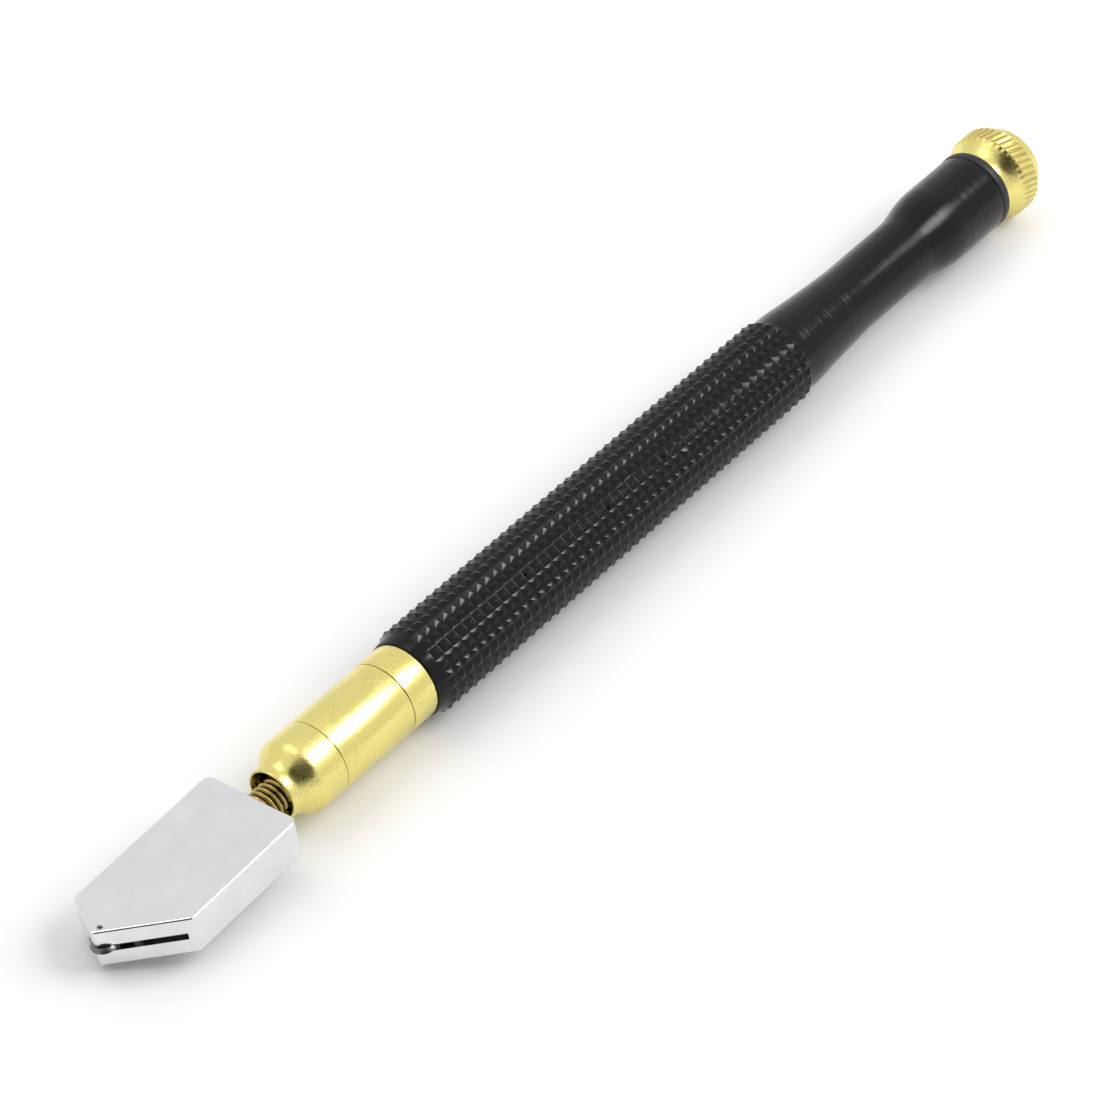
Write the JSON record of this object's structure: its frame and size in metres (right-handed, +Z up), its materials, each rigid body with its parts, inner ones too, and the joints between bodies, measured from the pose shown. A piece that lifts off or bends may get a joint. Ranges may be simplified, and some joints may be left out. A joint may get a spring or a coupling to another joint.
{
  "type": "glass cutter",
  "caption": "Pencil-grip oil-feed glass cutter: chromed flat head with a carbide wheel, brass ferrule, knurled black handle that holds the oil, brass filler cap.",
  "frame": {"origin": "under the middle of the tool, on the surface that it lies on", "axes": "+X along the tool from the cutting wheel to the filler cap, +Z up, square to the flat faces of the head but for its droop and its slight roll"},
  "size_m": [0.1814, 0.0148, 0.0128],
  "materials": {
    "chrome_plate": "satin chrome plate on die-cast zinc",
    "bright_brass": "turned and polished brass",
    "stem_brass": "cut thread, lightly tarnished",
    "steel": "drawn steel",
    "carbide": "ground tungsten carbide",
    "black_aluminium": "turned, knurled and glossy black",
    "rubber": "moulded nitrile rubber",
    "fibre": "pressed red fibre",
    "cotton": "twisted cotton"
  },
  "bodies": {
    "handle": {"nose_cap": "bright_brass", "nose_gasket": "fibre", "ferrule_sleeve": "bright_brass", "rear_collar": "bright_brass", "collar_gasket": "rubber", "handle_tube": "black_aluminium", "return_spring": "steel"},
    "spring_seat": {"thrust_disc": "stem_brass", "valve_pin": "steel", "valve_disc": "rubber"},
    "plunger": {"ball_plunger": "stem_brass", "plunger_o_ring": "rubber"},
    "stem_seal": {"stem_o_ring": "rubber"},
    "head": {"head_body": "chrome_plate", "wheel_axle": "steel", "head_wick": "cotton", "threaded_stem": "stem_brass"},
    "wheel": {"cutting_wheel": "carbide"},
    "filler_seal": {"filler_washer": "rubber"},
    "filler_cap": {"filler_cap": "bright_brass"}
  },
  "joints": [
    {"name": "head_press", "type": "slide", "parent": "handle", "child": "spring_seat", "axis": [1, 0, 0], "range_m": [0, 0.0008], "stiffness_N_per_m": 1500, "springref_m": -0.0015, "deforming": ["return_spring"]},
    {"name": "head_float", "type": "hinge", "parent": "spring_seat", "child": "plunger", "pos_m": [-0.05379, 0, 0.0064], "axis": [0, 1, 0], "range_deg": [0, 7.4]},
    {"name": "head_advance", "type": "slide", "parent": "plunger", "child": "stem_seal", "axis": [-0.9979, 0, -0.0645], "range_m": [-0.0012, 0.0024]},
    {"name": "head_turn", "type": "hinge", "parent": "stem_seal", "child": "head", "pos_m": [-0.05379, 0, 0.0064], "axis": [-0.9979, 0, -0.0645], "range_deg": [-540, 1080]},
    {"name": "wheel_spin", "type": "hinge", "parent": "head", "child": "wheel", "pos_m": [-0.08901, 0.00119, 0.00398], "axis": [-0.0641, 0.1219, 0.9905], "continuous": true},
    {"name": "cap_travel", "type": "slide", "parent": "handle", "child": "filler_seal", "axis": [1, 0, 0], "range_m": [0, 0.006]},
    {"name": "cap_turn", "type": "hinge", "parent": "filler_seal", "child": "filler_cap", "pos_m": [0.08621, 0, 0.0064], "axis": [1, 0, 0], "range_deg": [0, 2160]}
  ],
  "couplings": [
    {"joint": "head_advance", "follows": "head_turn", "m_per_rad": 0.00012732},
    {"joint": "cap_travel", "follows": "cap_turn", "m_per_rad": 0.00015915}
  ]
}
